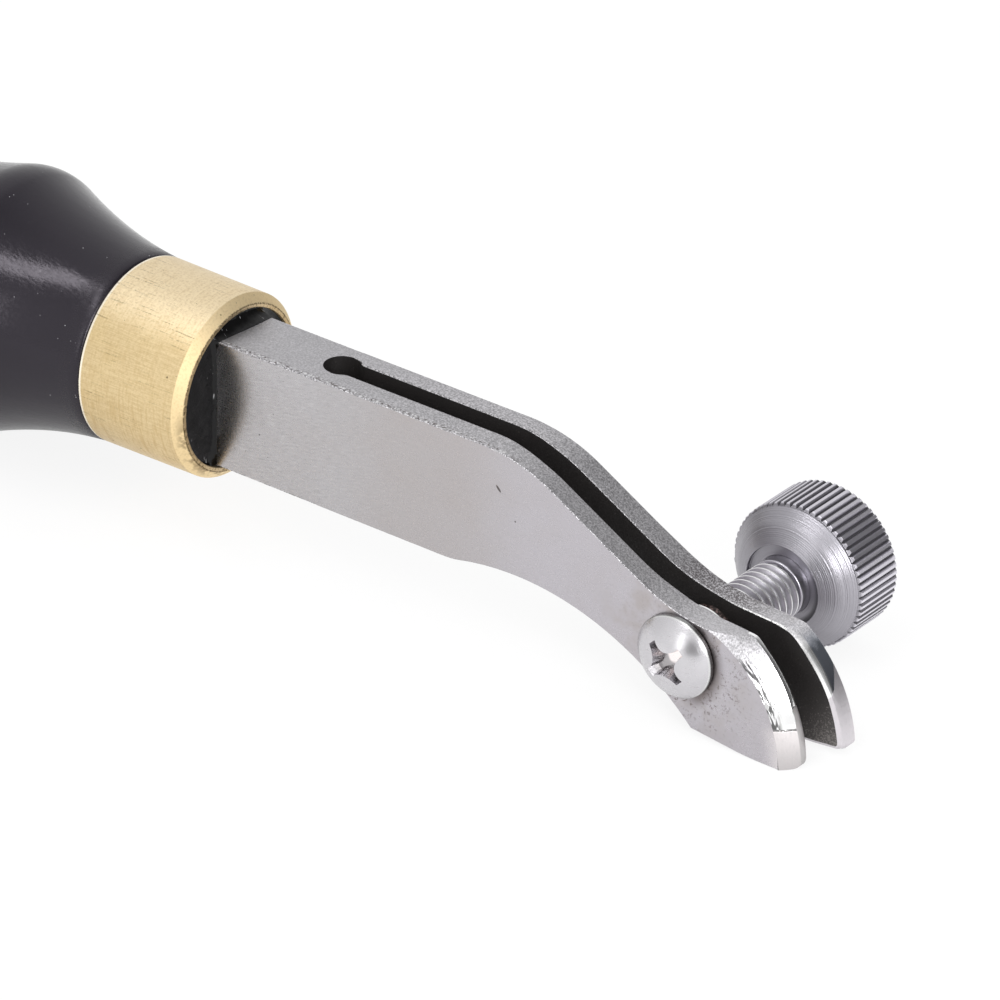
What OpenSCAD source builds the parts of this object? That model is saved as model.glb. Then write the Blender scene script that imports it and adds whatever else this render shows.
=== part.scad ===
// Adjustable leather edge creaser: a split sprung blade in a turned handle, with a thumb screw
// that sets the gap between two polished jaws.
// +X runs from the handle's butt to the jaws, +Y to the thumb knob's side, +Z up.
// The origin is the centre of the flat on the handle's butt.

/* [Handle] */
// Length of the handle from its butt to the shoulder behind the ferrule
handle_l = 88; // [76:1:120]
// Diameter of the flat on the butt
butt_flat_d = 11; // [6:0.5:14]
// Radius that rounds the butt into the grip
butt_round = 6; // [4:0.5:8]
// Slope of the grip where the butt's rounding starts, in degrees
butt_slope = 17; // [10:1:25]
// Diameter of the palm swell
palm_d = 25.2; // [24:0.2:32]
// Distance of the palm swell from the butt
palm_at = 22; // [18:1:30]
// Diameter of the waist
waist_d = 16.8; // [14:0.2:20]
// Distance of the waist behind the shoulder
waist_at = 35; // [30:1:40]
// Diameter of the finger bulb
bulb_d = 22.7; // [21:0.1:26]
// Distance of the finger bulb behind the shoulder
bulb_at = 14; // [12:0.5:18]
// Radius of the finger bulb's crest along the handle
bulb_crest_r = 4.5; // [3:0.5:8]
// Slope of the flare in front of the bulb, in degrees
flare_slope = 22.2; // [15:0.2:26]
// Slope of the taper behind the bulb, in degrees
taper_slope = 16; // [8:0.2:18]
// Height of the handle's shoulder above the ferrule
neck_step = 0; // [0:0.05:0.5]
// Slope of the flare where it leaves the shoulder, in degrees
neck_slope = 4.4; // [0:0.2:8]

/* [Ferrule] */
// Length of the ferrule
ferrule_l = 10.4; // [8:0.1:16]
// Wall of the ferrule at the handle
ferrule_wall = 0.7; // [0.6:0.05:1.5]
// Radius that the ferrule loses from the handle to its front
ferrule_taper = 0.1; // [0:0.05:0.3]
// Width of the chamfer around the front
ferrule_chamfer = 0.75; // [0.3:0.05:0.8]
// Height of the lip inside the ferrule's front
lip_h = 0.5; // [0.3:0.05:1]
// Thickness of the lip along the ferrule
lip_t = 0.9; // [0.9:0.1:1.5]
// Room between the blade's corners and the lip
lip_room = 0.2; // [0.1:0.02:1]
// Depth of the bedding behind the ferrule's front
bedding_l = 4; // [2:0.1:6]
// Depth of the bedding below the lip's front, at the lip
bedding_recess = 0.5; // [0.2:0.1:0.8]
// Height of the bedding's crown at the blade, past the lip's front
bedding_crown = 0.2; // [0:0.1:0.5]

/* [Blade] */
// Depth of the blade's axis below the handle's, as the blade was set
blade_drop = 0.2; // [0:0.05:0.3]
// Thickness of the blade, across the leaves
bar_t = 6; // [5.6:0.1:6.6]
// Height of the blade behind the S bend
bar_h = 11.4; // [10.4:0.1:11.6]
// Thickness of the tang
tang_t = 4.6; // [3:0.1:5.4]
// Height of the tang
tang_h = 8; // [5:0.5:9]
// Length of the tang behind the bedding
tang_l = 44; // [30:1:60]
// Distance from the ferrule's front to the keyhole's centre
slit_from_ferrule = 10.3; // [6:0.1:16]
// Width of the slit
slit_w = 2.1; // [1.8:0.1:2.4]
// Offset of the slit to the far side
slit_offset = 0.25; // [0:0.05:0.4]
// Diameter of the keyhole drilled at the slit's end
keyhole_d = 3.1; // [2.6:0.1:3.4]
// Distance from the keyhole to the S bend's upper corner
bend_at = 20.2; // [18:0.1:24]
// Slope of the S bend, in degrees
bend_slope = 29; // [24:0.5:32]
// Radius of the S bend's upper curve
bend_upper_r = 14.5; // [8:0.5:18]
// Radius of the S bend's lower curve
bend_lower_r = 16; // [8:0.5:16]
// Drop of the top edge through the S bend
bend_drop = 8.4; // [7:0.1:9]
// Slope of the jaws' top edge, in degrees
jaw_slope = 3.4; // [0:0.2:6]
// Radius ground into the blade's lower edge
relief_r = 24.5; // [22:0.5:28]
// Distance from the keyhole to the relief's centre
relief_at = 20; // [19:0.1:21]
// Height that the relief takes off the lower edge
relief_h = 0.8; // [0.5:0.1:1.2]

/* [Jaws] */
// Distance from the keyhole to the near jaw's nose
nose_at = 47.25; // [45:0.05:50]
// Lead of the far jaw's nose, which guides along the leather's edge
guide_lead = 1.7; // [0:0.1:2.5]
// Radius of the nose
nose_r = 12.3; // [11:0.1:13]
// Depth of the nose's centre below the blade's axis
nose_depth = 13.15; // [12.5:0.05:13.8]
// Depth of the heel, where the relief meets the sole
heel_depth = 12.05; // [11.5:0.05:12.4]
// Depth of the near jaw's toe below the blade's axis
near_toe_depth = 12.9; // [12.4:0.1:13.6]
// Depth of the far jaw's toe below the blade's axis
far_toe_depth = 12.2; // [12.1:0.1:13.4]
// Bulge of the sole between heel and toe
sole_bulge = 0.3; // [0.1:0.05:0.6]
// Radius that the near nose loses at its outer face
bevel_r = 1.3; // [0.4:0.1:1.4]
// Width of that bevel across the near jaw
bevel_w = 1.3; // [0.6:0.1:1.4]
// Small bevel along the near nose's inner edge
inner_bevel = 0.3; // [0.1:0.05:0.4]
// Small bevel along both edges of the far nose
guide_bevel = 0.15; // [0.1:0.05:0.4]

/* [Thumb screw] */
// Distance from the keyhole to the screw's axis
screw_at = 36; // [35:0.1:37]
// Depth of the screw's axis below the blade's axis
screw_depth = 6.2; // [5.8:0.1:7]
// Thread diameter of the adjusting stud
thread_d = 5; // [4:0.5:5.5]
// Pitch of the thread
pitch = 0.8; // [0.5:0.1:1]
// Radial room for the stud in the far leaf, which tilts as the jaws open
stud_room = 0.25; // [0.22:0.01:0.4]
// Length of stud between the far leaf and the knob's front rim
stud_reach = 7.9; // [4:0.1:10]
// Least length of the stud's plain end ahead of the knob's rim
plain_l = 0.7; // [0.3:0.1:1.5]
// Diameter of the knob over its knurl
knob_d = 12.5; // [11:0.1:16]
// Length of the knurl
knurl_l = 5.3; // [3:0.1:8]
// Number of knurl teeth
knurl_teeth = 63; // [40:1:80]
// Depth of the knurl
knurl_depth = 0.25; // [0.1:0.05:0.3]
// Length of the coned front
cone_l = 2; // [1.5:0.1:3]
// Width of the flat recess between the stud and the knob's front rim
rim_w = 0.95; // [0.4:0.05:1.4]
// Depth of that recess
rim_recess = 0.35; // [0.2:0.05:1.2]
// Chamfer at the knob's back
knob_chamfer = 0.2; // [0.2:0.1:0.8]
// Depth of the stud's seat in the knob, behind the recess
stud_seat = 4; // [3:0.1:4.5]

/* [Retaining screw] */
// Thread diameter of the retaining screw
retainer_d = 3; // [2.5:0.1:3.2]
// Diameter of its head
head_d = 7.1; // [6.4:0.1:7.6]
// Height of its head
head_h = 1.9; // [1.6:0.1:2.2]
// Height of the head's straight rim
head_rim = 0.35; // [0.2:0.05:0.5]
// Length of the screw below its head
retainer_l = 8; // [6:0.5:9]
// Span of the cross recess
cross_span = 3.8; // [3:0.1:4.2]
// Width of the cross recess
cross_w = 0.95; // [0.7:0.05:1.1]
// Depth of the cross recess below the top of the head
cross_depth = 1.2; // [0.8:0.1:1.4]
// Turn of the cross recess, in degrees
cross_turn = 45; // [0:5:90]
// Diameter of the thrust washer
washer_d = 7; // [6:0.1:7.6]
// Thickness of the thrust washer
washer_t = 0.5; // [0.3:0.1:0.6]

/* [Fits] */
// Room around the tang in its socket
socket_room = 0.1; // [0.05:0.01:0.2]
// Radial room between pieces that are set or glued together
set_room = 0.03; // [0.02:0.01:0.05]
// Radial running room of the retaining screw in the near leaf
run_room = 0.05; // [0.03:0.01:0.09]
// End play of the near leaf between washer and screw head
end_play = 0.04; // [0.02:0.01:0.06]
// Gap between the shank and each leaf at the slit's end, where the blade flexes
flex_gap = 0.08; // [0.06:0.01:0.12]

/* [Hidden] */

// Places along X
ferrule_x = handle_l + ferrule_l;
tenon_x = ferrule_x - bedding_l;
keyhole_x = ferrule_x + slit_from_ferrule;
screw_x = keyhole_x + screw_at;
near_nose_x = keyhole_x + nose_at;
far_nose_x = near_nose_x + guide_lead;
bulb_x = handle_l - bulb_at;

// Places across Y: the two leaves, then what the screw's axis carries
near_out_y = -bar_t / 2;
near_in_y = slit_offset - slit_w / 2;
far_in_y = slit_offset + slit_w / 2;
far_out_y = bar_t / 2;
near_t = near_in_y - near_out_y;
far_t = far_out_y - far_in_y;
washer_y = near_in_y + end_play;
stud_y = washer_y + washer_t;
rim_y = far_out_y + stud_reach;
recess_y = rim_y + rim_recess;
knurl_y = rim_y + cone_l;
back_y = knurl_y + knurl_l;
head_y = near_out_y - end_play;

// Radii of the ferrule, from the blade outwards
lip_r = norm([bar_t / 2, bar_h / 2 + blade_drop]) + lip_room;
bore_r = lip_r + lip_h;
ferrule_r = bore_r + ferrule_wall;

// Heights and depths of the blade
top_z = bar_h / 2;
screw_z = -screw_depth;
relief_z = relief_h - top_z - relief_r;
overrun = 1;

// A 60 degree thread: its depth and the flats at its crest and root
thread_h = 0.54 * pitch;
crest_flat = pitch / 8;
root_flat = pitch / 4;

// Depth of the stud's tapped hole, with room past the screw's end
tap_room = 0.5;
tap_l = retainer_l - (stud_y - head_y) + tap_room;

// Share of a knurl tooth's pitch that its flat top takes
tooth_top = 0.2;

// Fineness of the curves that are drawn as points
curve_steps = 14;
$fn = 96;

// Points of an arc about c, in degrees
function arc(c, r, from, to) =
    [for (i = [0 : curve_steps])
        let (a = from + (to - from) * i / curve_steps)
            c + r * [cos(a), sin(a)]];

// Points of a cubic that leaves a and reaches b, each given as [x, y, slope], without its ends
function blend(a, b) =
    let (l = b[0] - a[0])
        [for (i = [1 : curve_steps - 1])
            let (t = i / curve_steps, u = 1 - t)
                [a[0] + l * t,
                 u * u * (1 + 2 * t) * a[1] + t * t * (1 + 2 * u) * b[1]
                 + l * t * u * (u * a[2] - t * b[2])]];

// Points of the corner b between a and c, rounded to radius r
function rounded(a, b, c, r) =
    let (u = (a - b) / norm(a - b),
         v = (c - b) / norm(c - b),
         half = acos(u * v) / 2,
         middle = (u + v) / norm(u + v),
         centre = b + middle * r / sin(half),
         start = b + u * r / tan(half),
         s = start - centre,
         from = atan2(s[1], s[0]),
         turn = (180 - 2 * half) * sign(s[0] * v[1] - s[1] * v[0]))
        arc(centre, r, from, from + turn);

// Turns a profile of [distance, radius] points about the handle's axis
module turned(profile) {
    rotate([0, 90, 0]) rotate_extrude() polygon([for (p = profile) [p[1], p[0]]]);
}

// Turns a profile of [radius, distance] points about the screw's axis
module turned_on_screw(profile) {
    translate([screw_x, 0, screw_z]) rotate([-90, 0, 0]) rotate_extrude() polygon(profile);
}

// A round bar or hole on the screw's axis, from one Y to another
module screw_round(d, from, to) {
    translate([screw_x, from, screw_z]) rotate([-90, 0, 0]) cylinder(d = d, h = to - from);
}

// Sets what is drawn about the blade's axis at its height
module on_blade() {
    translate([0, 0, -blade_drop]) children();
}

// A block centred on the blade's axis in Y and Z
module axis_block(from, to, t, h) {
    translate([from, -t / 2, -h / 2]) cube([to - from, t, h]);
}

// Outline of the grip from the butt's flat to the shoulder
module grip() {
    palm = [palm_at, palm_d / 2, 0];
    waist = [handle_l - waist_at, waist_d / 2, 0];
    crest = [bulb_x, bulb_d / 2 - bulb_crest_r];
    butt_c = [butt_round, butt_flat_d / 2];
    butt_end = [butt_round * (1 - sin(butt_slope)), butt_flat_d / 2 + butt_round * cos(butt_slope),
                tan(butt_slope)];
    crest_back = [crest[0] - bulb_crest_r * sin(taper_slope),
                  crest[1] + bulb_crest_r * cos(taper_slope), tan(taper_slope)];
    crest_front = [crest[0] + bulb_crest_r * sin(flare_slope),
                   crest[1] + bulb_crest_r * cos(flare_slope), -tan(flare_slope)];
    shoulder = [handle_l, ferrule_r + neck_step, -tan(neck_slope)];
    turned(concat(
        [[0, 0]],
        arc(butt_c, butt_round, 180, 90 + butt_slope),
        blend(butt_end, palm),
        [[palm[0], palm[1]]],
        blend(palm, waist),
        [[waist[0], waist[1]]],
        blend(waist, crest_back),
        arc(crest, bulb_crest_r, 90 + taper_slope, 90 - flare_slope),
        blend(crest_front, shoulder),
        [[shoulder[0], shoulder[1]], [handle_l, 0]]));
}

module handle() {
    color("#1c191b") difference() {
        union() {
            grip();
            rotate([0, 90, 0]) cylinder(r = bore_r - set_room, h = tenon_x);
        }
        on_blade() axis_block(tenon_x - tang_l - socket_room, tenon_x + overrun,
                              tang_t + 2 * socket_room, tang_h + 2 * socket_room);
    }
}

module ferrule() {
    front_r = ferrule_r - ferrule_taper;
    color("#d9bd80") turned([
        [handle_l, bore_r],
        [handle_l, ferrule_r],
        [ferrule_x - ferrule_chamfer, front_r],
        [ferrule_x, front_r - ferrule_chamfer],
        [ferrule_x, lip_r],
        [ferrule_x - lip_t, lip_r],
        [ferrule_x - lip_t, bore_r]]);
}

module ferrule_bedding() {
    rim_r = lip_r - set_room;
    wide_r = bore_r - set_room;
    color("#0d0d0e") difference() {
        turned([
            [tenon_x, 0],
            [tenon_x, wide_r],
            [ferrule_x - lip_t - set_room, wide_r],
            [ferrule_x - lip_t - set_room, rim_r],
            [ferrule_x - bedding_recess, rim_r],
            [ferrule_x + bedding_crown, bar_t / 2],
            [ferrule_x + bedding_crown, 0]]);
        on_blade() axis_block(tenon_x - overrun, ferrule_x + overrun,
                              bar_t + 2 * set_room, bar_h + 2 * set_room);
    }
}

// The hole drilled at the end of the slit
module keyhole() {
    translate([keyhole_x, slit_offset, -bar_h]) cylinder(d = keyhole_d, h = 2 * bar_h);
}

module blade_shank() {
    on_blade() color("#b8b5b2") difference() {
        union() {
            axis_block(tenon_x - tang_l, tenon_x + overrun, tang_t, tang_h);
            axis_block(tenon_x, keyhole_x - flex_gap / 2, bar_t, bar_h);
        }
        keyhole();
    }
}

// Side outline of a leaf in X and Z, from the keyhole's middle to past its nose
module leaf_side(nose_x, toe_depth) {
    slope = [cos(bend_slope), -sin(bend_slope)];
    ahead = [cos(jaw_slope), -sin(jaw_slope)];
    root = [keyhole_x + flex_gap / 2, top_z];
    upper = [keyhole_x + bend_at, top_z];
    lower = upper + slope * bend_drop / sin(bend_slope);
    past = lower + ahead * (nose_x + overrun - lower[0]) / cos(jaw_slope);
    bar_run = sqrt(relief_r * relief_r - pow(relief_z + top_z, 2));
    heel_run = sqrt(relief_r * relief_r - pow(relief_z + heel_depth, 2));
    heel = [keyhole_x + relief_at + heel_run, -heel_depth];
    toe = [nose_x + overrun, -toe_depth];
    sole = (heel + toe) / 2 - [0, sole_bulge];
    polygon(concat(
        [root],
        rounded(root, upper, lower, bend_upper_r),
        rounded(upper, lower, past, bend_lower_r),
        [past, toe],
        rounded(toe, sole, heel, relief_r),
        [heel, [keyhole_x + relief_at - bar_run, -top_z], [root[0], -top_z]]));
}

// Everything behind the screw, and a round nose with a bevel on its outer and its inner edge.
// The disc is drawn with its outer face at zero.
module nose_limit(nose_x, t, outer_r, outer_w, inner) {
    translate([nose_x - nose_r, 0, -nose_depth]) rotate([-90, 0, 0]) rotate_extrude() polygon([
        [0, 0],
        [nose_r - outer_r, 0],
        [nose_r, outer_w],
        [nose_r, t - inner],
        [nose_r - inner, t],
        [0, t]]);
    translate([keyhole_x, 0, -2 * bar_h]) cube([screw_at + overrun, t, 4 * bar_h]);
}

// A leaf with its outer face at zero and its thickness towards +Y, ended by the nose given to it
module leaf(nose_x, toe_depth, t) {
    intersection() {
        difference() {
            translate([0, t, 0]) rotate([90, 0, 0]) linear_extrude(t) leaf_side(nose_x, toe_depth);
            translate([keyhole_x + relief_at, -overrun, relief_z]) rotate([-90, 0, 0])
                cylinder(r = relief_r, h = t + 2 * overrun, $fn = 180);
        }
        children();
    }
}

module near_tine() {
    on_blade() color("#bcb9b6") difference() {
        translate([0, near_out_y, 0]) leaf(near_nose_x, near_toe_depth, near_t)
            nose_limit(near_nose_x, near_t, bevel_r, bevel_w, inner_bevel);
        keyhole();
        screw_round(retainer_d + 2 * run_room, near_out_y - overrun, near_in_y + overrun);
    }
}

module far_tine() {
    on_blade() color("#bcb9b6") difference() {
        translate([0, far_out_y, 0]) mirror([0, 1, 0]) leaf(far_nose_x, far_toe_depth, far_t)
            nose_limit(far_nose_x, far_t, guide_bevel, guide_bevel, guide_bevel);
        keyhole();
        screw_round(thread_d + 2 * stud_room, far_in_y - overrun, far_out_y + overrun);
    }
}

// The thread is drawn as rings at its pitch, which run free in the far leaf
module adjusting_stud() {
    crest = thread_d / 2;
    core = crest - thread_h;
    rings = floor((rim_y - plain_l - stud_y) / pitch);
    thread_end = stud_y + rings * pitch;
    on_blade() color("#a9a9ab") difference() {
        turned_on_screw(concat(
            [[0, stud_y], [core, stud_y]],
            [for (i = [0 : rings - 1])
                let (y = stud_y + (i + 0.5) * pitch)
                    each [
                        [core, y - (pitch - root_flat) / 2],
                        [crest, y - crest_flat / 2],
                        [crest, y + crest_flat / 2],
                        [core, y + (pitch - root_flat) / 2]]],
            [[core, thread_end],
             [crest, thread_end],
             [crest, recess_y + stud_seat],
             [0, recess_y + stud_seat]]));
        screw_round(retainer_d + 2 * set_room, stud_y - overrun, stud_y + tap_l);
    }
}

module thumb_knob() {
    root = knob_d / 2 - knurl_depth;
    rim = thread_d / 2 + rim_w;
    tooth = 360 / knurl_teeth;
    on_blade() color("#9d9da1") difference() {
        union() {
            turned_on_screw([
                [0, recess_y],
                [rim, recess_y],
                [rim, rim_y],
                [root, knurl_y],
                [root, back_y - knob_chamfer],
                [root - knob_chamfer, back_y],
                [0, back_y]]);
            translate([screw_x, back_y - knob_chamfer, screw_z]) rotate([90, 0, 0])
                linear_extrude(knurl_l - knob_chamfer)
                    polygon([for (i = [0 : knurl_teeth - 1]) each [
                        (root - knurl_depth) * [cos(i * tooth), sin(i * tooth)],
                        for (side = [-1, 1])
                            let (a = (i + (1 + side * tooth_top) / 2) * tooth)
                                knob_d / 2 * [cos(a), sin(a)]]]);
        }
        screw_round(thread_d + 2 * set_room, rim_y, recess_y + stud_seat + set_room);
    }
}

module thrust_washer() {
    on_blade() color("#c4c4c6") difference() {
        screw_round(washer_d, washer_y, stud_y);
        screw_round(retainer_d + 2 * run_room, washer_y - overrun, stud_y + overrun);
    }
}

// Low domed head on the near side, with a cross recess, and a shank that ends in the stud
module retaining_screw() {
    dome_h = head_h - head_rim;
    dome_r = (pow(head_d / 2, 2) + dome_h * dome_h) / (2 * dome_h);
    dome_half = asin(head_d / 2 / dome_r);
    top_y = head_y - head_h;
    on_blade() color("#cfcfd1") difference() {
        union() {
            turned_on_screw(concat(
                [[0, head_y], [head_d / 2, head_y]],
                arc([0, top_y + dome_r], dome_r, -90 + dome_half, -90)));
            screw_round(retainer_d, head_y, head_y + retainer_l);
        }
        translate([screw_x, top_y + cross_depth, screw_z]) rotate([90, cross_turn, 0])
            for (turn = [0, 90])
                rotate([0, 0, turn]) translate([-cross_span / 2, -cross_w / 2, 0])
                    cube([cross_span, cross_w, cross_depth + overrun]);
    }
}

handle();
ferrule();
ferrule_bedding();
blade_shank();
near_tine();
far_tine();
adjusting_stud();
thumb_knob();
thrust_washer();
retaining_screw();
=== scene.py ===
"""Looks of an adjustable leather edge creaser: handle, ferrule, split blade and thumb screw."""

from contextlib import contextmanager
import math

import bmesh
import bpy
import numpy as np
from mathutils import Matrix, Vector


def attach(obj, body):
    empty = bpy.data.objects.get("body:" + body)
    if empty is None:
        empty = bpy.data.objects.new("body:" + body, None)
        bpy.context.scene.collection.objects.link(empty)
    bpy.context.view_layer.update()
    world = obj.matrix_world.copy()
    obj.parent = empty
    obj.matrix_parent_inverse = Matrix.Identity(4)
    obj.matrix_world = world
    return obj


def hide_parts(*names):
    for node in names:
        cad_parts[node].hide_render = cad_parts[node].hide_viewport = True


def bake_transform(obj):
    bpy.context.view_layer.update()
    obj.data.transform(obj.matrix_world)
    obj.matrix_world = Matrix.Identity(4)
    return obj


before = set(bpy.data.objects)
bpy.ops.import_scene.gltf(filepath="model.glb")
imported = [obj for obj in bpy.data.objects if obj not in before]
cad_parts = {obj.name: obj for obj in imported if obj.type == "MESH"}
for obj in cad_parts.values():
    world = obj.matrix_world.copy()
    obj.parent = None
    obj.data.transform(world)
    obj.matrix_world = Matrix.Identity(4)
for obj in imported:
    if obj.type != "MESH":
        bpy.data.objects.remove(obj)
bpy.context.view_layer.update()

# Sizes in millimetres, in the part's frame: +X from butt to jaws, +Y to the knob, +Z up
MM = 0.001
HANDLE_L, FERRULE_X, TENON_X = 88.0, 98.4, 94.4
FERRULE_R, BORE_R, LIP_R, LIP_T = 8.0, 7.3, 6.803, 0.9
BLADE_Z, BAR_T, BAR_H = -0.2, 6.0, 11.4
KEYHOLE_X, KEYHOLE_R, SLIT_Y = 108.7, 1.55, 0.25
NEAR_OUT, NEAR_IN, FAR_IN, FAR_OUT = -3.0, -0.8, 1.3, 3.0
NOSE_AHEAD, NOSE_BELOW, NOSE_R = 34.95, 13.15, 12.3
SCREW_X, SCREW_Z, STUD_R, PITCH = 144.7, -6.4, 2.5, 0.8
FLOOR_Z = -13.1

# Signs of a rectangle's corners, in turn
CORNERS = ((1, 1), (-1, 1), (-1, -1), (1, -1))


def math_node(operation, reflected=False):
    """A method of a wire that makes a Math node of it and another value."""
    def method(wire, other):
        values = (other, wire) if reflected else (wire, other)
        return wire.tree.math(operation, *values)
    return method


class Wire:
    """A node's output. Sums written with it become Math nodes in the same tree."""

    def __init__(self, tree, socket):
        self.tree = tree
        self.socket = socket

    __add__, __radd__ = math_node("ADD"), math_node("ADD", True)
    __sub__, __rsub__ = math_node("SUBTRACT"), math_node("SUBTRACT", True)
    __mul__, __rmul__ = math_node("MULTIPLY"), math_node("MULTIPLY", True)
    __truediv__, __rtruediv__ = math_node("DIVIDE"), math_node("DIVIDE", True)
    __gt__, __lt__ = math_node("GREATER_THAN"), math_node("LESS_THAN")


class Tree:
    """Builds a shader tree or a geometry tree."""

    def __init__(self, node_tree):
        self.node_tree = node_tree

    def node(self, kind, inputs=None, out=0, **settings):
        """Adds a node with its settings, fills or links its sockets, and gives one output."""
        made = self.node_tree.nodes.new(kind)
        for name, value in settings.items():
            setattr(made, name, value)
        for key, value in (inputs or {}).items():
            socket = made.inputs[key]
            if isinstance(value, Wire):
                self.node_tree.links.new(value.socket, socket)
            else:
                socket.default_value = (*value, 1.0) if socket.type == "RGBA" else value
        if out is None:
            return made
        return Wire(self, made.outputs[out])

    def math(self, operation, *values):
        return self.node("ShaderNodeMath", dict(enumerate(values)), operation=operation)

    def vector(self, operation, *values, out=0):
        return self.node("ShaderNodeVectorMath", dict(enumerate(values)), out, operation=operation)

    def length(self, vector):
        return self.vector("LENGTH", vector, out="Value")

    def parts(self, vector, *axes):
        """Single coordinates of a vector: 0 for X, 1 for Y, 2 for Z."""
        return [self.node("ShaderNodeSeparateXYZ", {0: vector}, k) for k in axes]

    def point(self, x, y, z):
        return self.node("ShaderNodeCombineXYZ", {0: x, 1: y, 2: z})

    def ramp(self, value, low, high):
        """0 at low, 1 at high, and smooth between them."""
        sockets = {0: value, 1: low, 2: high, 3: 0.0, 4: 1.0}
        return self.node("ShaderNodeMapRange", sockets, interpolation_type="SMOOTHSTEP")

    def blend(self, share, first, second):
        """A mix of two colours."""
        return self.node("ShaderNodeMix", {0: share, 6: first, 7: second}, 2, data_type="RGBA")

    def layers(self, colour, *laid):
        """Lays tones over a colour one after another, each by its share."""
        for share, tone in laid:
            colour = self.blend(share, colour, tone)
        return colour


class Finish(Tree):
    """A material whose patterns are laid out in millimetres on the part's own frame."""

    def __init__(self, name):
        self.material = bpy.data.materials.new(name)
        self.material.use_nodes = True
        self.material.node_tree.nodes.clear()
        super().__init__(self.material.node_tree)
        place = self.node("ShaderNodeTexCoord", out="Object")
        self.place = self.vector("MULTIPLY", place, (1 / MM,) * 3)
        self.x, self.y, self.z = self.parts(self.place, 0, 1, 2)

    def noise(self, stretch, detail=2.0, roughness=0.5, shift=0.0):
        """Noise from 0 to 1, with its cycles per millimetre, or those along X, Y and Z."""
        stretch = stretch if isinstance(stretch, tuple) else (stretch,) * 3
        place = self.vector("MULTIPLY", self.place, stretch)
        place = self.vector("ADD", place, (shift, shift * 1.7, shift * 2.3))
        return self.noise_at(place, detail, roughness)

    def noise_at(self, place, detail, roughness):
        """Noise from 0 to 1 at a place that has its stretch already."""
        sockets = {"Vector": place, "Scale": 1.0, "Detail": detail, "Roughness": roughness}
        return self.node("ShaderNodeTexNoise", sockets, "Fac")

    def rings(self, along, detail, roughness):
        """Noise from 0 to 1 along one value, for a lathe's marks."""
        sockets = {"W": along, "Scale": 1.0, "Detail": detail, "Roughness": roughness}
        return self.node("ShaderNodeTexNoise", sockets, "Fac", noise_dimensions="1D")

    def specks(self, per_mm, size, share, shift=0.0):
        """1 inside small specks, which fill a share of the cells of a grid."""
        place = self.vector("ADD", self.place, (shift, shift * 1.3, shift * 0.7))
        cell = {"Vector": place, "Scale": per_mm, "Randomness": 1.0}
        near = self.node("ShaderNodeTexVoronoi", cell, "Distance")
        pick = self.node("ShaderNodeTexVoronoi", cell, "Color")
        kept = self.node("ShaderNodeSeparateColor", {0: pick}, 0) < share
        return (1 - self.ramp(near, size * 0.5, size)) * kept

    def side_on(self, x, z):
        """Place in X and Z from a point, whatever its Y."""
        away = self.vector("SUBTRACT", self.place, (x, 0.0, z))
        return self.vector("MULTIPLY", away, (1.0, 0.0, 1.0))

    def screw_radius(self):
        """Distance from the thumb screw's axis."""
        return self.length(self.side_on(SCREW_X, SCREW_Z))

    def from_nose(self):
        """Place in X and Z from the middle of the near nose's curve."""
        return self.side_on(KEYHOLE_X + NOSE_AHEAD, BLADE_Z - NOSE_BELOW)

    def tilted(self, place, angle):
        """A place turned about Y."""
        sockets = {"Vector": place, "Angle": angle}
        return self.node("ShaderNodeVectorRotate", sockets, rotation_type="Y_AXIS")

    def bump(self, height, distance, strength=1.0, under=None):
        sockets = {"Height": height, "Distance": distance * MM, "Strength": strength}
        if under is not None:
            sockets["Normal"] = under
        return self.node("ShaderNodeBump", sockets)

    def surface(self, colour, roughness, metallic, normal, **constants):
        """Ends the tree in one shader and gives the material."""
        sockets = {"Base Color": colour, "Roughness": roughness, "Metallic": metallic, "Normal": normal}
        sockets.update({name.replace("_", " "): value for name, value in constants.items()})
        shader = self.node("ShaderNodeBsdfPrincipled", sockets)
        self.node("ShaderNodeOutputMaterial", {"Surface": shader}, None)
        return self.material


def grey(value):
    return (value, value, value)


def cool(value):
    """Steel grey with a faint violet cast."""
    return (value, value * 0.98, value * 1.018)


def turned_grey(value):
    """The more violet grey of turned steel."""
    return (value, 0.972 * value, 1.06 * value)


def black_lacquer():
    """Satin black lacquer with faint waves, dust and a grain that breaks up its highlights."""
    f = Finish("black_lacquer")
    waves = f.noise((0.08, 0.3, 0.3))
    grain = f.noise((2.2, 4.6, 4.6), 2.0, 0.6)
    dust = f.specks(1.2, 0.06, 0.4) * 0.6 + f.specks(2.4, 0.1, 0.07, 4.0) * 0.5
    colour = f.blend(waves, (0.0055, 0.0045, 0.007), (0.0095, 0.008, 0.0118))
    colour = f.blend(dust, colour, (0.6, 0.6, 0.62))
    by_brass = f.ramp(f.x, HANDLE_L - 2.6, HANDLE_L - 1.0)
    roughness = 0.1 + waves * 0.03 + f.ramp(grain, 0.35, 0.65) * 0.1 + dust * 0.3 + by_brass * 0.14
    normal = f.bump(grain + waves * 4.0, 0.012)
    violet = (0.97, 0.9, 1.0)
    return f.surface(colour, roughness, 0.0, normal, Specular_IOR_Level=0.4, Specular_Tint=violet)


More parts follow.
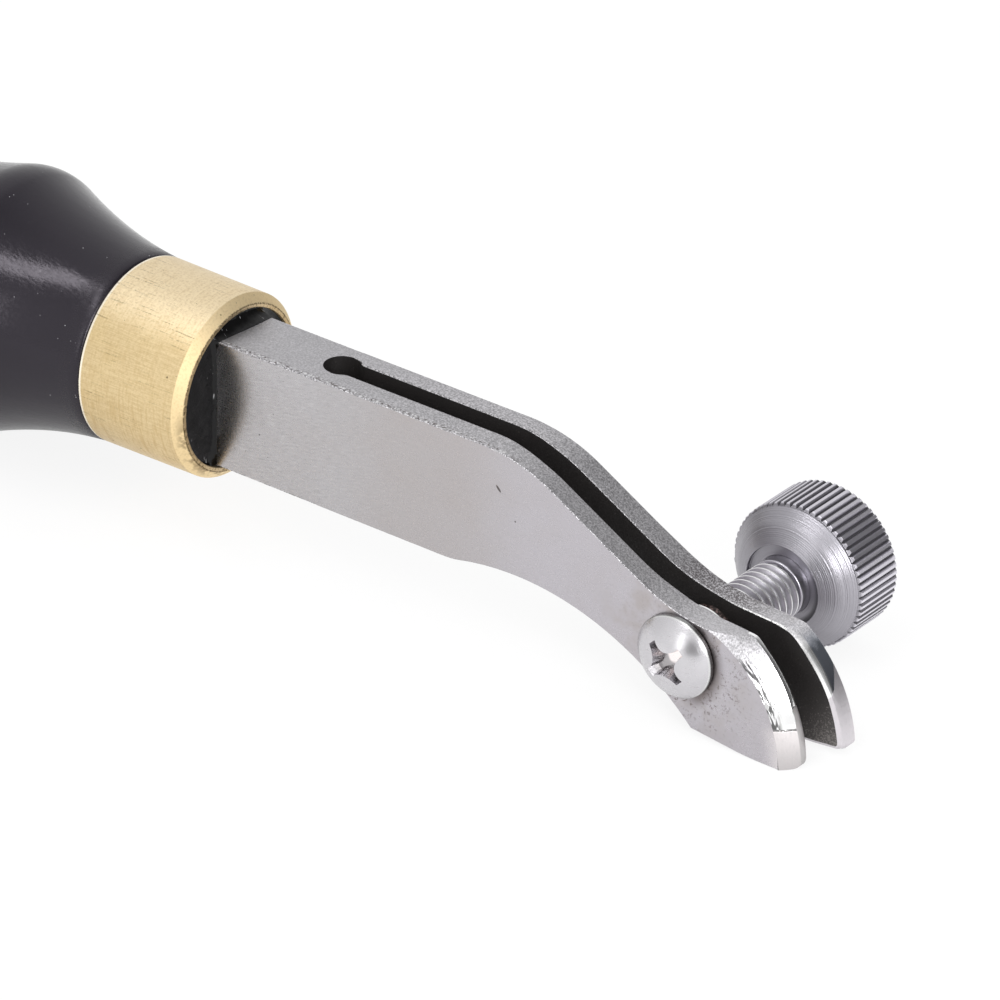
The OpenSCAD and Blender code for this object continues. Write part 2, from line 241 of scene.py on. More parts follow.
def brushed_brass():
    """Pale brass: turned lines, brushed along the tool, with dark pits and a grimy line at the lip."""
    f = Finish("brushed_brass")
    across = f.length(f.vector("MULTIPLY", f.place, (0.0, 1.0, 1.0)))
    lines = f.noise((0.4, 11.0, 11.0), 3.0, 0.65)
    streaks = f.noise((0.2, 7.0, 7.0), 2.0, 0.6, 5.0)
    around = f.noise((5.0, 0.4, 0.4), 3.0, 0.7, 13.0)
    cloud = f.noise(0.25, shift=9.0)
    fine = f.noise(5.0, 2.0, 0.6, 2.0)
    pits = f.specks(0.9, 0.1, 0.16) + f.specks(2.1, 0.12, 0.08, 3.0)
    front = f.ramp(f.x, FERRULE_X - 0.14, FERRULE_X - 0.06)
    chamfer = f.ramp(f.x, FERRULE_X - 0.8, FERRULE_X - 0.72) * f.ramp(across, 7.08, 7.18)
    # Painted highlight: a thin bright band painted along the ferrule's rear edge
    painted_rear_highlight = f.ramp(f.x, HANDLE_L + 0.36, HANDLE_L + 0.22)
    # Painted highlight: the ferrule's top and bottom are painted paler, where they catch light
    painted_sheen_top_bottom = f.ramp(f.z, -4.0, -7.4) + f.ramp(f.z, 5.0, 7.4)
    grime = front * f.ramp(f.math("ABSOLUTE", across - 7.14), 0.1, 0.02)
    grime = grime * f.ramp(fine, 0.34, 0.5)
    nicks = front * f.ramp(f.noise((1.0, 3.4, 3.4), 1.0, 0.5, 6.0), 0.6, 0.66)
    nicks = nicks * f.ramp(across, 7.2, 7.1)
    turned_lines = f.ramp(around, 0.46, 0.64) * (0.35 + f.ramp(f.z, 3.0, -4.0) * 0.65) * (1 - chamfer)
    soiled = f.ramp(f.noise(1.3, 2.0, 0.6, 19.0), 0.4, 0.58) * f.ramp(f.z, 1.5, -2.0)
    soiled = soiled * chamfer * f.ramp(across, 7.85, 7.25)
    scored = f.ramp(streaks, 0.58, 0.68) * f.ramp(cloud, 0.4, 0.58)
    scored = scored * f.ramp(fine, 0.35, 0.55) * (1 - chamfer)
    dark = scored * 0.5 + pits * 0.75 + grime * 0.8 + nicks * 0.6
    colour = f.layers((0.635, 0.49, 0.272),
        (f.ramp(lines, 0.32, 0.68), (0.745, 0.602, 0.36)),
        (f.ramp(cloud, 0.35, 0.75) * 0.3, (0.72, 0.555, 0.285)),
        (painted_sheen_top_bottom * 0.62, (0.94, 0.81, 0.59)),
        (chamfer * 0.7, (0.88, 0.72, 0.445)),
        (turned_lines * 0.55, (0.53, 0.36, 0.155)),
        (f.ramp(fine, 0.44, 0.7) * (0.34 - chamfer * 0.12), (0.5, 0.35, 0.17)),
        (soiled * 0.6, (0.2, 0.125, 0.06)),
        (painted_rear_highlight, (0.98, 0.9, 0.74)),
        (front * f.ramp(across, 7.18, 7.08) * 0.5, (0.5, 0.36, 0.2)),
        (f.math("MINIMUM", dark, 1.0), (0.12, 0.08, 0.035)))
    roughness = 0.42 + lines * 0.12 + pits * 0.2 + chamfer * 0.16 - painted_rear_highlight * 0.2
    height = (lines + streaks * 0.6 + around * 0.6) * (1 - chamfer * 0.5) + fine * 0.6 - pits - grime
    return f.surface(colour, roughness, 1.0, f.bump(height, 0.009))


def setting_compound():
    """Glossy black compound with pale scuffs."""
    f = Finish("setting_compound")
    lumps = f.noise(0.9)
    hair = f.noise((0.7, 5.0, 0.9), shift=2.0)
    scuffs = f.ramp(hair, 0.69, 0.72) * f.ramp(f.noise(0.5, 1.0, 0.5, 8.0), 0.48, 0.6)
    colour = f.blend(scuffs * 0.8, (0.003, 0.0029, 0.0031), (0.45, 0.45, 0.46))
    return f.surface(colour, 0.13 + scuffs * 0.4, 0.0, f.bump(lumps, 0.12), Specular_IOR_Level=0.24)


def ground_steel():
    """The blade's sides: satin ground steel, mottled, with pits that gather round the screw."""
    f = Finish("ground_steel")
    brush = f.noise((0.5, 9.0, 9.0), 3.0, 0.6)
    cross = f.noise((8.0, 8.0, 0.7), shift=3.0)
    mottle = f.noise(0.22, 3.0, 0.6, 6.0)
    fine = f.noise(3.5, shift=1.0)
    r = f.screw_radius()
    by_screw = f.ramp(r, 9.5, 3.6)
    by_ferrule = f.ramp(f.x, 112.0, 99.0)
    pits = f.specks(0.42, 0.04, 0.3) + f.specks(2.6, 0.14, 0.1, 9.0) * by_ferrule
    pits = pits + f.specks(1.6, 0.12, 0.04, 7.0) * f.ramp(mottle, 0.5, 0.65)
    ahead = 0.2 + f.ramp(f.x - f.z * 0.5, SCREW_X + 2.0, SCREW_X + 5.0) * 0.8
    clumps = f.ramp(f.noise(0.42, shift=21.0), 0.38, 0.54) * by_screw * ahead
    rust = f.ramp(f.noise(3.4, 3.0, 0.75, 17.0), 0.55, 0.64) * clumps
    # Painted shadow: a soft dark band beside the screw head, on its side away from the light
    painted_head_shadow = f.ramp(r, 4.8, 3.5) * f.ramp(f.x, SCREW_X + 0.3, SCREW_X + 2.4)
    nick_at = f.tilted(f.vector("SUBTRACT", f.place, (126.97, NEAR_OUT, 2.12)), -0.83)
    nick = f.ramp(f.length(f.vector("MULTIPLY", nick_at, (2.4, 1.0, 8.0))), 1.0, 0.7)
    stain = by_screw * f.ramp(f.noise(0.5, 3.0, 0.6, 12.0), 0.42, 0.7)
    in_places = f.ramp(f.noise((0.15, 2.0, 2.0), 1.0, 0.5, 15.0), 0.45, 0.65)
    scratches = f.ramp(brush, 0.55, 0.75) * in_places
    mid_shank = f.ramp(f.math("ABSOLUTE", f.x - 120.0), 10.0, 2.0)
    warm = mid_shank * 0.5 + f.ramp(mottle, 0.3, 0.75) * 0.25
    strokes = f.noise_at(f.vector("MULTIPLY", f.tilted(f.place, 0.227), (1.1, 6.0, 6.0)), 2.0, 0.6)
    stroked = f.ramp(f.x, 124.0, 103.0)
    by_nose = f.ramp(f.length(f.from_nose()) + fine * 0.5, 9.6, 11.6)
    rubbed_toe = by_nose * f.ramp(f.z, -9.0, -10.6) * (f.y < 0.0)
    colour = f.layers((0.442, 0.429, 0.441),
        (f.ramp(f.x, 116.0, 134.0), (0.472, 0.452, 0.482)),
        (warm, (0.415, 0.384, 0.38)),
        (scratches * (0.2 + by_ferrule * 0.4), grey(0.27)),
        (f.ramp(strokes, 0.52, 0.66) * stroked * 0.24, grey(0.26)),
        (f.ramp(strokes, 0.46, 0.32) * stroked * 0.24, grey(0.62)),
        (rubbed_toe * 0.8, (0.69, 0.655, 0.66)),
        (stain * 0.4, (0.34, 0.29, 0.25)),
        (rust * 0.75, (0.1, 0.07, 0.06)),
        (painted_head_shadow * 0.8, (0.1, 0.08, 0.075)),
        (f.math("MINIMUM", pits + nick, 1.0) * 0.85, (0.06, 0.05, 0.045)))
    roughness = 0.22 + brush * 0.05 + fine * 0.07 + stain * 0.1 - by_ferrule * 0.01
    normal = f.bump(brush * 0.6 + cross * 0.5 + fine * 0.2 - pits - nick, 0.005)
    return f.surface(colour, roughness, 1.0, normal)


def milled_edge():
    """The blade's narrow edges: greyer, grainy, with bright flecks."""
    f = Finish("milled_edge")
    grain = f.noise(6.5, 2.0, 0.7)
    coarse = f.noise((0.8, 1.6, 1.6), 3.0, 0.6, 4.0)
    flecks = f.ramp(f.noise(4.2, 2.0, 0.6, 9.0), 0.64, 0.72)
    far = f.y > 0.0
    toward_jaw = f.ramp(f.x - far * 4.0, 143.5, 147.5)
    by_stud = f.ramp(f.x, 140.0, 143.0) * f.ramp(f.x, 150.5, 146.5) * far
    hacked = f.ramp(f.y, -2.3, -2.75) * f.ramp(f.x, 131.0, 125.0)
    chips = f.noise(3.8, 2.0, 0.6, 14.0)
    colour = f.layers(cool(0.285),
        (f.ramp(grain, 0.33, 0.67), cool(0.605)),
        (f.ramp(f.x, 122.0, 104.0) * 0.5, cool(0.45)),
        (flecks * 0.6 + toward_jaw * 0.3, cool(0.74)),
        (by_stud * f.ramp(grain, 0.62, 0.42) * 0.8, (0.13, 0.115, 0.12)),
        (hacked * f.ramp(chips, 0.53, 0.59) * 0.9, (0.11, 0.09, 0.085)),
        (hacked * f.ramp(chips, 0.45, 0.38) * 0.75, grey(0.85)))
    roughness = 0.38 + grain * 0.16 - toward_jaw * 0.1
    return f.surface(colour, roughness, 1.0, f.bump(grain + coarse * 0.7, 0.024))


def worn_arris():
    """The broken line where an edge meets a side, rubbed bright or chipped dark."""
    f = Finish("worn_arris")
    chips = f.noise(7.0, 3.0, 0.75)
    rubbed = f.ramp(chips, 0.4, 0.6)
    jaw = f.ramp(f.x, 145.5, 149.5) * (f.y > 0.5) * (f.y < 2.3)
    colour = f.blend(rubbed, cool(0.16), cool(0.66))
    colour = f.blend(jaw * f.ramp(chips, 0.36, 0.5), colour, grey(1.0))
    return f.surface(colour, 0.5 - rubbed * 0.1 - jaw * 0.12, 1.0, f.bump(chips, 0.04))


def polished_nose():
    """The jaws' noses: polished and wavy, brushed at their tops, satin at their toes, with file marks and
    a painted dark reflection on the far nose.
    """
    f = Finish("polished_nose")
    from_nose = f.from_nose()
    reach = f.length(from_nose)
    ahead, above = f.parts(from_nose, 0, 2)
    angle = f.math("ARCTAN2", above, ahead)
    round_nose = f.point(reach * 6.0, angle * 10.0, 0.0)
    far, bevel = f.y > 0.0, f.y < -1.72
    waves = f.noise((0.5, 0.5, 0.3))
    wobble = f.noise((1.6, 1.6, 1.1), shift=3.0)
    fine = f.noise(4.0, 2.0, 0.6)
    scratches = f.noise((5.0, 5.0, 1.4), 3.0, 0.65, 7.0)
    brushed = f.noise((7.0, 7.0, 3.5), 3.0, 0.7, 11.0)
    near_end = 1.6 * f.ramp(f.y, -1.8, -1.45) - 9.7
    end = near_end + far * (f.y * 1.315 - 10.16 - near_end)
    toe = f.ramp(f.z - end + wobble * 0.1, 0.13, -0.05)
    strokes = f.noise_at(round_nose, 1.5, 0.5)
    filed = f.ramp(reach, 11.75, 11.3) * f.ramp(f.z, -4.2, -5.2) * bevel * (1 - toe)
    marks = f.ramp(strokes, 0.44, 0.56) * filed
    far_top = far * f.ramp(f.z + wobble * 0.8, -4.4, -3.1)
    upper = f.ramp(f.z - f.y * 0.6, -6.0, -3.6) * (f.y < -1.2) + far_top * 0.85
    line = f.ramp(f.math("ABSOLUTE", f.z + 9.72 + wobble * 0.12 - 0.06), 0.13, 0.05) * bevel
    line = line * f.ramp(fine, 0.32, 0.42)
    dark = f.math("MAXIMUM", marks * 0.92, line * 0.85)
    blue = far * f.ramp(f.y, 1.74, 1.98) * (1 - toe)
    satin = f.layers((0.705, 0.668, 0.67),
        (f.ramp(f.z, -10.0, -12.8), (0.54, 0.515, 0.517)),
        ((1 - far) * (1 - bevel) * 0.5, (0.4646, 0.46, 0.4554)),
        (far, (0.66, 0.63, 0.658)),
        (f.ramp(scratches, 0.5, 0.75) * 0.35, grey(0.5)))
    # Painted reflection: the far nose's polished band is coloured dark blue-grey, darker lower down
    painted_dark_reflection = f.blend(f.ramp(f.z, -4.5, -8.5), (0.56, 0.6, 0.69), (0.3, 0.315, 0.36))
    far_corner = far * f.ramp(f.x, 153.6, 152.3) * f.ramp(f.y, 1.5, 1.8)
    colour = f.layers(grey(0.96),
        (toe, satin),
        (blue, painted_dark_reflection),
        (far_corner, (0.2, 0.21, 0.243)),
        (upper, f.blend(f.ramp(brushed, 0.36, 0.64), cool(0.36), cool(0.68))),
        (f.math("MAXIMUM", dark, f.specks(1.1, 0.07, 0.1, 5.0) * 0.6), grey(0.06)))
    roughness = 0.08 + toe * 0.3 + upper * 0.24 + fine * 0.05 + dark * 0.2
    roughness = roughness + far * (1 - blue) * (1 - toe) * 0.2
    rough = (fine + scratches) * toe + brushed * upper - line * 2.0 - marks * 0.5
    normal = f.bump(waves, 0.07, 0.6, f.bump(rough, 0.012))
    return f.surface(colour, roughness, 1 - far_top * 0.5, normal)


def slit_scale():
    """Dark brown-black scale inside the slit, rubbed through in grains towards the toes."""
    f = Finish("slit_scale")
    grain = f.noise(7.0, 3.0, 0.75)
    toes = f.ramp(f.z, -6.5, -12.6) * f.ramp(f.x, 150.0, 157.0)
    rubbed = f.ramp(grain + toes * 0.2, 0.67, 0.73)
    cloud = f.noise(0.3)
    colour = f.layers((0.009, 0.0075, 0.0075),
        (cloud, (0.016, 0.0135, 0.013)),
        (toes * 0.3, (0.17, 0.155, 0.15)),
        (rubbed * 0.5, (0.36, 0.335, 0.32)))
    return f.surface(colour, 0.42 + grain * 0.2, rubbed * 0.7, f.bump(grain, 0.02))


def lathe_steel():
    """Knob: lathe rings on cone, recess and back; painted shade in the recess's corner and the knurl's
    grooves, painted highlights on the knurl's crests and right side.
    """
    f = Finish("lathe_steel")
    r = f.screw_radius()
    rings = f.rings(r * 8.0 + f.y * 3.0, 2.0, 0.65)
    broad = f.rings(r * 1.3, 1.0, 0.5)
    cloud = f.noise(0.5)
    fine = f.noise(5.0, 2.0, 0.6, 4.0)
    on_knurl = f.ramp(f.y, 12.98, 13.12) * f.ramp(f.y, 18.12, 18.05)
    # Painted shade in the knurl's grooves and painted highlights along its crests
    groove = f.ramp(r, 6.16, 6.04) * on_knurl * f.ramp(r, 5.7, 5.85)
    crest = f.ramp(r, 6.14, 6.22) * on_knurl
    recess = f.ramp(r, 3.5, 3.44) * f.ramp(f.y, 11.6, 11.4)
    # Painted shadow: a dark crescent in the recess's corner, and the whole recess a little darker
    corner = f.ramp(r, 2.8, 3.3) * recess * f.ramp(f.x - SCREW_X - (f.z - SCREW_Z) * 0.4, 0.6, 2.2)
    # Painted highlight: cone and knurl lighter towards the right; painted shade: the knurl darker on the
    # left
    to_right = f.ramp(f.x - SCREW_X + (f.z - SCREW_Z) * 0.4, 1.5, 5.5)
    colour = f.layers(turned_grey(0.26),
        (rings * 0.7 + cloud * 0.3, turned_grey(0.42)),
        (recess * 0.1, turned_grey(0.2)),
        (corner * 0.85, turned_grey(0.04)),
        (to_right * (0.2 + on_knurl * 0.5), turned_grey(0.62)),
        (on_knurl * (1 - to_right) * 0.3, turned_grey(0.15)),
        (groove * 0.8, turned_grey(0.1)),
        (crest * 0.75, turned_grey(0.76)))
    roughness = 0.27 + broad * 0.08 + fine * 0.06 + groove * 0.25
    normal = f.bump(rings * (1 - on_knurl) + fine * 0.3, 0.024)
    return f.surface(colour, roughness, 1.0, normal)


def cut_thread():
    """Stud: crests lightened as a painted highlight, roots darkened as painted shade."""
    f = Finish("cut_thread")
    r = f.screw_radius()
    # Painted shade in the thread's roots and painted highlights on its crests
    root = f.ramp(r, 2.36, 2.1)
    crest = f.ramp(r, 2.43, 2.48) * f.ramp(f.y, 10.1, 9.9)
    fine = f.noise(4.0, 2.0, 0.6)
    in_slit = f.ramp(f.y, 2.4, 1.7)
    rusty = f.blend(f.ramp(fine, 0.52, 0.6), (0.018, 0.012, 0.011), (0.14, 0.095, 0.088))
    colour = f.layers(turned_grey(0.5),
        (fine, turned_grey(0.66)),
        (f.ramp(f.y, 10.1, 10.2) * 0.3, turned_grey(0.3)),
        (root * 0.6, grey(0.16)),
        (crest * 0.85, grey(0.95)),
        (in_slit, rusty))
    return f.surface(colour, 0.28 + fine * 0.1 + root * 0.1, 1 - in_slit * 0.9, f.bump(fine, 0.004))


def bright_stainless():
    """Retaining screw and washer: bright, with faint turning marks and handling scuffs; painted light and
    shade in the cross recess, at the head's rim and on the washer.
    """
    f = Finish("bright_stainless")
    r = f.screw_radius()
    rings = f.rings(r * 9.0, 2.0, 0.6)
    scuffs = f.ramp(f.noise((1.2, 1.2, 6.0), 2.0, 0.6), 0.62, 0.75)
    cloud = f.noise(0.6, shift=3.0)
    # Painted shade in the cross recess, with one wing lightened as a painted highlight
    deep = f.ramp(f.y, -4.5, -3.75) * f.ramp(r, 2.3, 2.0) * (f.y < -3.0)
    on_washer = (f.y > -1.0) * (r > 2.0)
    lit_wing = f.ramp((f.x - SCREW_X) * 0.88 + (f.z - SCREW_Z) * 0.47, -0.3, 0.0)
    lit_wing = lit_wing * f.ramp(f.z - SCREW_Z, -0.4, 0.0)
    colour = f.layers(cool(0.54),
        (cloud, cool(0.62)),
        (scuffs * 0.2 + deep * 0.5 * (1 - lit_wing), (0.24, 0.22, 0.21)),
        (deep * lit_wing, (0.95, 0.88, 0.87)),
        # A painted highlight line at the dome's rim, and painted shade on the head's side beyond it
        (f.ramp(r, 3.4, 3.46), grey(0.66)),
        (f.ramp(r, 3.49, 3.53), grey(0.3)),
        # Painted shade on the washer's body, with a painted highlight along its edge
        (on_washer, f.blend(f.ramp(f.y, -0.5, -0.44), cool(0.42), grey(1.0))))
    roughness = 0.24 + scuffs * 0.1 + cloud * 0.06
    return f.surface(colour, roughness, 1.0, f.bump(rings * 0.4 + cloud, 0.01))


def placed(name, data):
    """An object in the scene."""
    made = bpy.data.objects.new(name, data)
    bpy.context.scene.collection.objects.link(made)
    return made


def aimed(made, place, x, y):
    """Puts an object at a place, with its X and Y axes along two directions."""
    turn = Matrix((x, y, x.cross(y))).transposed().to_4x4()
    made.matrix_world = Matrix.Translation(place) @ turn


def piece_from(name, verts, faces):
    """An object whose points are given in millimetres."""
    mesh = bpy.data.meshes.new(name)
    mesh.from_pydata([tuple(c * MM for c in v) for v in verts], [], faces)
    return placed(name, mesh)


@contextmanager
def opened(piece):
    """A piece's mesh, open to changes."""
    form = bmesh.new()
    form.from_mesh(piece.data)
    yield form
    form.to_mesh(piece.data)
    form.free()


def settle(piece, sharp_deg=32.0):
    """Merges doubles, points faces outwards and shades smooth between sharp edges."""
    with opened(piece) as form:
        bmesh.ops.remove_doubles(form, verts=form.verts, dist=1e-6)
        bmesh.ops.dissolve_degenerate(form, edges=form.edges, dist=1e-7)
        bmesh.ops.recalc_face_normals(form, faces=form.faces)
    piece.data.shade_smooth()
    piece.data.set_sharp_from_angle(angle=math.radians(sharp_deg))
    return piece


def rounded_path(corners, steps=5, closed=False):
    """Points through (a, b, radius) corners, each rounded off by its radius."""
    count = len(corners)
    points = []
    for i, (a, b, r) in enumerate(corners):
        if r == 0 or (not closed and i in (0, count - 1)):
            points.append((a, b))
            continue
        here = Vector((a, b))
        u = (Vector(corners[i - 1][:2]) - here).normalized()
        v = (Vector(corners[(i + 1) % count][:2]) - here).normalized()
        half = u.angle(v) / 2
        centre = here + (u + v).normalized() * r / math.sin(half)
        start = here + u * r / math.tan(half) - centre
        end = here + v * r / math.tan(half) - centre
        turn = math.copysign(math.pi - 2 * half, start.x * end.y - start.y * end.x)
        for k in range(steps + 1):
            angle = turn * k / steps
            c, s = math.cos(angle), math.sin(angle)
            points.append((centre.x + start.x * c - start.y * s, centre.y + start.x * s + start.y * c))
    return points


def skin(rows, ring=False):
    """Faces between rows of points, each of which closes on itself or is a single point."""
    faces = []
    for a, b in zip(rows, rows[1:] + (rows[:1] if ring else [])):
        for k in range(max(len(a), len(b))):
            quad = [a[k % len(a)], a[(k + 1) % len(a)], b[(k + 1) % len(b)], b[k % len(b)]]
            quad = [v for i, v in enumerate(quad) if v not in quad[:i]]
            if len(quad) > 2:
                faces.append(quad)
    return faces


def turned(name, profile, on_screw=False, sides=160, ring=False):
    """Turns (along, radius) points about the handle's axis or the screw's."""
    verts, rows = [], []
    for along, r in profile:
        row = []
        for k in range(1 if r < 1e-6 else sides):
            angle = math.tau * k / sides
            c, s = r * math.cos(angle), r * math.sin(angle)
            row.append(len(verts))
            verts.append((SCREW_X + c, along, SCREW_Z + s) if on_screw else (along, c, s))
        rows.append(row)
    return piece_from(name, verts, skin(rows, ring))


def cut(piece, cutter):
    """Cuts a cutter's shape out of a piece, and removes the cutter."""
    step = piece.modifiers.new("cut", "BOOLEAN")
    step.operation = "DIFFERENCE"
    step.solver = "EXACT"
    step.object = cutter
    plain(piece)
    bpy.data.objects.remove(cutter)
    return piece


def plain(piece):
    """Turns a piece with modifiers into a plain mesh."""
    bpy.context.view_layer.update()
    graph = bpy.context.evaluated_depsgraph_get()
    result = bpy.data.meshes.new_from_object(piece.evaluated_get(graph))
    piece.modifiers.clear()
    old, piece.data = piece.data, result
    result.name = piece.name
    bpy.data.meshes.remove(old)
    return piece


def joined(piece, other):
    """Adds another piece's mesh to a piece, and removes the other."""
    with opened(piece) as form:
        form.from_mesh(other.data)
    bpy.data.objects.remove(other)
    return piece


def hermite(a, b, steps):
    """Points of a cubic between two (x, y, slope) ends, without the first."""
    length = b[0] - a[0]
    points = []
    for i in range(1, steps + 1):
        t = i / steps
        u = 1 - t
        points.append((a[0] + length * t, u * u * (1 + 2 * t) * a[1] + t * t * (1 + 2 * u) * b[1]
                       + length * t * u * (u * a[2] - t * b[2])))
    return points


def arc(centre, r, start_deg, end_deg, steps):
    angles = [math.radians(start_deg + (end_deg - start_deg) * i / steps) for i in range(steps + 1)]
    return [(centre[0] + r * math.cos(a), centre[1] + r * math.sin(a)) for a in angles]


def prism(name, first, second):
    """A solid between two outlines that have the same number of points."""
    ends = [list(range(len(first))), list(range(len(first), len(first + second)))]
    return settle(piece_from(name, first + second, skin(ends) + ends))


def bar(name, section, start, end):
    """A straight bar along X with a (y, z) section."""
    return prism(name, *([(x, *p) for p in section] for x in (start, end)))


def make_handle():
    """Butt, palm swell, waist and finger bulb, with a tenon that goes into the ferrule."""
    def slope(deg):
        return math.tan(math.radians(deg))

    tilt, rise, fall = 17, 16, 22.2
    butt = arc((6, 5.5), 6, 180, 90 + tilt, 16)
    bulb = arc((74.0, 6.85), 4.5, 90 + rise, 90 - fall, 16)
    swell, waist = (22, 12.585, 0), (53, 8.4, 0)
    profile = [(0, 0), (0, 2.5), (0, 4.5)] + butt + hermite((*butt[-1], slope(tilt)), swell, 20)
    profile += hermite(swell, waist, 30) + hermite(waist, (*bulb[0], slope(rise)), 20) + bulb[1:]
    profile += hermite((*bulb[-1], -slope(fall)), (HANDLE_L, FERRULE_R, -slope(4.4)), 24)[:-1]
    profile += arc((HANDLE_L - 0.45, 7.55), 0.45, 85, 0, 5)
    profile += [(HANDLE_L, BORE_R - 0.03), (TENON_X, BORE_R - 0.03), (TENON_X, 0)]
    socket = [(y * 2.4, BLADE_Z + z * 4.1) for y, z in CORNERS]
    socket = bar("socket", socket, TENON_X - 44.1, TENON_X + 1)
    return settle(cut(turned("turned_handle", profile), socket))


def make_ferrule():
    profile = rounded_path([
        (HANDLE_L + 0.02, BORE_R, 0), (HANDLE_L + 0.02, FERRULE_R, 0.15), (FERRULE_X - 0.75, 7.9, 0.12),
        (FERRULE_X, 7.15, 0.06), (FERRULE_X, LIP_R, 0.08), (FERRULE_X - LIP_T, LIP_R, 0),
        (FERRULE_X - LIP_T, BORE_R, 0)], closed=True)
    return settle(turned("brass_ferrule", profile, ring=True), 40)


def make_bedding():
    """Black compound between the ferrule and the blade, drawn up along the blade's top."""
    half_t, half_h = BAR_T / 2 + 0.01, BAR_H / 2 + 0.01
    lip = LIP_R - 0.03
    steps, around = 14, 240
    verts, rows = [], []
    for k in range(around):
        a = math.tau * k / around
        c, s = math.cos(a), math.sin(a)
        reach = 1 / max(abs(c) / half_t, abs(s) / half_h)
        inner = Vector((reach * c, BLADE_Z + reach * s))
        along = Vector((c, s))
        b = inner.dot(along)
        outer = inner + along * (-b + math.sqrt(b * b - inner.length_squared + lip * lip))
        top = max(0.0, min(1.0, (inner.y - 4.6) / 0.9))
        across = max(0.0, inner.x / BAR_T + 0.5)
        climb = 0.22 + 0.05 * math.sin(5 * a + 1) + top * (0.3 + 0.55 * across)
        ring = []
        for i in range(steps + 1):
            t = i / steps
            p = inner.lerp(outer, t)
            gap = (outer - inner).length
            rise = climb * math.exp(-t * gap / (0.18 + 0.3 * top)) * (1 - t)
            rise += 0.2 * math.exp(-(1 - t) * gap / 0.15)
            ripple = 0.03 * math.sin(3 * p.x + 2 * p.y) * math.sin(math.pi * t)
            ring.append((FERRULE_X - 0.55 + rise + ripple + 0.35 * (1 - t), p.x, p.y))
        wide = outer.normalized() * (BORE_R - 0.03)
        behind_lip, end = FERRULE_X - LIP_T - 0.03, TENON_X + 0.01
        ring += [(behind_lip, outer.x, outer.y), (behind_lip, wide.x, wide.y)]
        ring += [(end, wide.x, wide.y), (end, inner.x, inner.y)]
        rows.append(range(len(verts), len(verts) + len(ring)))
        verts += ring
    return settle(piece_from("ferrule_bedding_compound", verts, skin(rows, True)), 50)


def resampled(points, count):
    """Evenly spaced points along a line."""
    p = np.array(points, float)
    run = np.concatenate([[0], np.cumsum(np.hypot(*np.diff(p, axis=0).T))])
    at = np.linspace(0, run[-1], count)
    return np.stack([np.interp(at, run, p[:, k]) for k in (0, 1)], 1)


def met(first, second, r):
    """Rounds off the corner where two lines end; gives both, up to the middle of the rounding."""
    steps, corner = 8, first[-1]

    def away(line, distance):
        return [p for p in line if math.dist(p, corner) > distance]

    before, after = away(first, 1.0)[-1], away(second, 1.0)[-1]
    bend = rounded_path([(*before, 0), (*corner, r), (*after, 0)], 2 * steps)[1:-1]
    clear = math.dist(bend[0], corner)
    return away(first, clear) + bend[:steps + 1], away(second, clear) + bend[:steps - 1:-1]


def bearing(p):
    return math.degrees(math.atan2(p[1], p[0]))


def leaf_lines(lead, toe_depth, corner_r, toe_r):
    """Top and bottom lines of a leaf's side, and the middle of its nose, from the keyhole's middle."""
    half_h, bend_x, drop = BAR_H / 2, 20.2, 8.4
    bend_slope, jaw_slope = math.radians(29), math.radians(3.4)
    centre, r = np.array((NOSE_AHEAD + lead, -NOSE_BELOW)), NOSE_R
    ahead = np.array((math.cos(jaw_slope), -math.sin(jaw_slope)))
    low = np.array((bend_x + drop / math.tan(bend_slope), half_h - drop))
    back = low - centre
    run = -back @ ahead + math.sqrt((back @ ahead) ** 2 - back @ back + r * r)
    corner = low + ahead * run
    heel = np.array((37.5, -12.25))
    end = np.array((centre[0] + r + 1, -toe_depth))
    middle = (heel + end) / 2 - (0, 0.3)
    sole = rounded_path([(*heel, 0), (*middle, 24.5), (*end, 0)], 24)
    sole = [tuple(p) for p in resampled(sole, 400)]
    sole = [p for p in sole if math.dist(p, centre) < r]
    nose = arc(centre, r, bearing(corner - centre), bearing(sole[-1] - centre), 200)
    edge = rounded_path([(0, half_h, 0), (bend_x, half_h, 14.5), (*low, 16), (*corner, 0)], 24)
    edge, nose = met(edge, nose[::-1], corner_r)
    nose, sole = met(nose[::-1], sole, toe_r)
    relief = arc((20, -29.4), 24.5, bearing((-6.21, 23.7)), bearing((17.5, 17.15)), 50)
    under = rounded_path([(0, -half_h, 0), (*relief[0], 8.0), (*relief[2], 0)], 8)[:-1] + relief[2:]
    top = np.concatenate([resampled(edge, 130), resampled(nose, 70)[1:]])
    bottom = np.concatenate([resampled(under, 130), resampled(sole, 70)[1:]])
    return top, bottom, centre


def drift(x, *runs):
    """Sum of smooth shifts, each (start, end, amount) along x."""
    total = np.zeros(len(x))
    for start, end, amount in runs:
        t = np.clip((x - start) / (end - start), 0, 1)
        total += amount * t * t * (3 - 2 * t)
    return total


